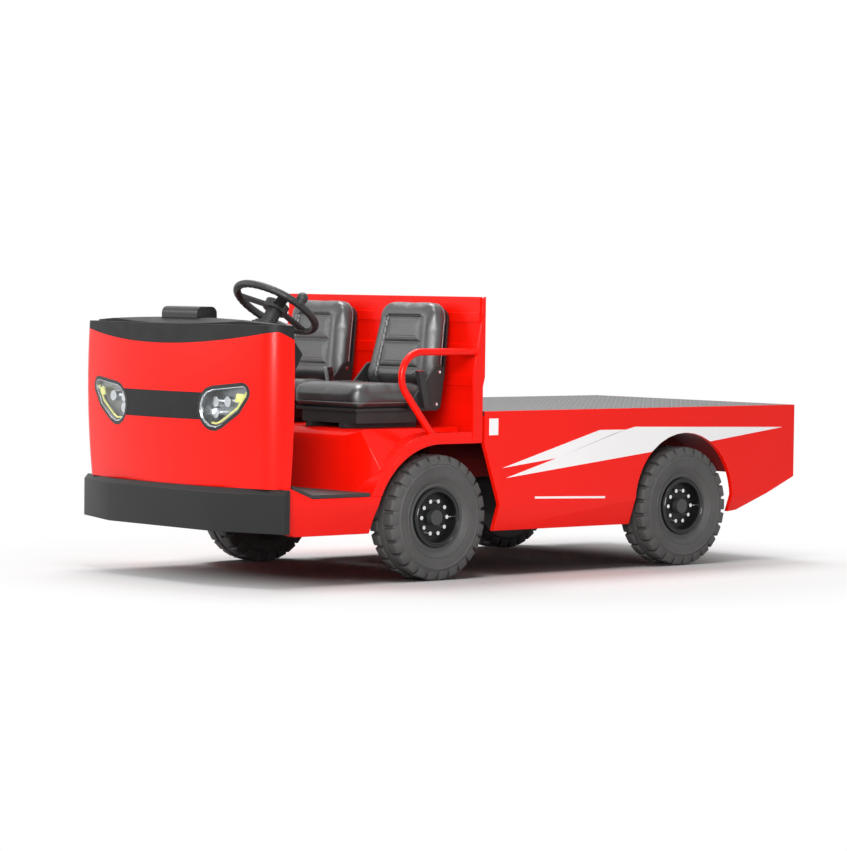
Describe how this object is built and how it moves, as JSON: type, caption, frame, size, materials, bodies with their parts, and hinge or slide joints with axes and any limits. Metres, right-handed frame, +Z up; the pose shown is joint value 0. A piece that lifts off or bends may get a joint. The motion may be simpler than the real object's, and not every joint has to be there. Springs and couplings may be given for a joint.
{
  "type": "electric platform truck",
  "caption": "Open-cab electric platform truck: bowed front cowl with eye-shaped lamps, two seats, ribbed bulkhead and a flat load deck on steered front and driven rear wheels.",
  "frame": {"origin": "on the ground, at the middle of the overall length and width", "axes": "+X forward, +Y to the vehicle's left, +Z up"},
  "size_m": [3.51, 1.55, 1.3959],
  "materials": {
    "red_paint": "gloss",
    "dark_red_paint": "satin",
    "charcoal_paint": "satin",
    "black_plastic": "matte",
    "rubber_mat": "matte",
    "tyre_rubber": "matte",
    "seat_vinyl": "satin",
    "steel": "satin",
    "deck_plate": "satin",
    "lamp_lens": "clear",
    "tail_lens": "gloss"
  },
  "bodies": {
    "chassis": {"chassis_frame": "dark_red_paint", "front_axle": "charcoal_paint", "leaf_springs": "charcoal_paint", "rear_axle": "charcoal_paint", "drive_motor": "steel", "battery_box": "charcoal_paint", "bumper": "charcoal_paint", "front_cowl": "red_paint", "dash": "black_plastic", "instrument_pod": "black_plastic", "lamp_band": "black_plastic", "headlamps": "black_plastic", "headlamp_lenses": "lamp_lens", "side_sills": "red_paint", "cab_floor": "dark_red_paint", "floor_mat": "rubber_mat", "pedals": "black_plastic", "seat_box": "red_paint", "fenders": "red_paint", "bulkhead": "red_paint", "hip_rails": "red_paint", "seat_bases": "black_plastic", "seat_cushion_left": "seat_vinyl", "seat_cushion_right": "seat_vinyl", "seat_back_left": "seat_vinyl", "seat_back_right": "seat_vinyl", "seat_back_shells": "black_plastic", "recliner_brackets": "black_plastic", "belt_buckles": "black_plastic", "steering_column": "black_plastic", "platform_deck": "deck_plate", "platform_side_left": "red_paint", "platform_side_right": "red_paint", "platform_tail": "red_paint", "platform_frame": "dark_red_paint", "rear_arch_liners": "dark_red_paint", "tail_lamps": "tail_lens", "tow_jaw": "charcoal_paint"},
    "knuckle_left": {"knuckle_left": "charcoal_paint"},
    "knuckle_right": {"knuckle_right": "charcoal_paint"},
    "tie_rod": {"tie_rod": "charcoal_paint"},
    "wheel_front_left": {"tyre_front_left": "tyre_rubber", "rim_front_left": "charcoal_paint"},
    "wheel_front_right": {"tyre_front_right": "tyre_rubber", "rim_front_right": "charcoal_paint"},
    "wheel_rear_left": {"tyre_rear_left": "tyre_rubber", "rim_rear_left": "charcoal_paint"},
    "wheel_rear_right": {"tyre_rear_right": "tyre_rubber", "rim_rear_right": "charcoal_paint"},
    "steering_wheel": {"steering_wheel": "black_plastic"}
  },
  "joints": [
    {"name": "steer_left", "type": "hinge", "parent": "chassis", "child": "knuckle_left", "pos_m": [0.657, 0.525, 0.295], "axis": [0, 0, 1], "range_deg": [-35, 35]},
    {"name": "steer_right", "type": "hinge", "parent": "chassis", "child": "knuckle_right", "pos_m": [0.657, -0.525, 0.295], "axis": [0, 0, 1], "range_deg": [-35, 35]},
    {"name": "tie_rod_pivot", "type": "hinge", "parent": "knuckle_left", "child": "tie_rod", "pos_m": [0.527, 0.525, 0.213], "axis": [0, 0, 1], "range_deg": [-35, 35]},
    {"name": "steering_wheel_turn", "type": "hinge", "parent": "chassis", "child": "steering_wheel", "pos_m": [1.337, 0.34, 1.272], "axis": [-0.5446, 0, 0.8387], "range_deg": [-490, 490]},
    {"name": "wheel_front_left_spin", "type": "hinge", "parent": "knuckle_left", "child": "wheel_front_left", "pos_m": [0.657, 0.645, 0.295], "axis": [0, 1, 0], "continuous": true},
    {"name": "wheel_front_right_spin", "type": "hinge", "parent": "knuckle_right", "child": "wheel_front_right", "pos_m": [0.657, -0.645, 0.295], "axis": [0, 1, 0], "continuous": true},
    {"name": "wheel_rear_left_spin", "type": "hinge", "parent": "chassis", "child": "wheel_rear_left", "pos_m": [-0.968, 0.645, 0.295], "axis": [0, 1, 0], "continuous": true},
    {"name": "wheel_rear_right_spin", "type": "hinge", "parent": "chassis", "child": "wheel_rear_right", "pos_m": [-0.968, -0.645, 0.295], "axis": [0, 1, 0], "continuous": true}
  ],
  "couplings": [
    {"joint": "steer_right", "follows": "steer_left", "ratio": 1},
    {"joint": "tie_rod_pivot", "follows": "steer_left", "ratio": -1},
    {"joint": "steering_wheel_turn", "follows": "steer_left", "ratio": 14}
  ]
}
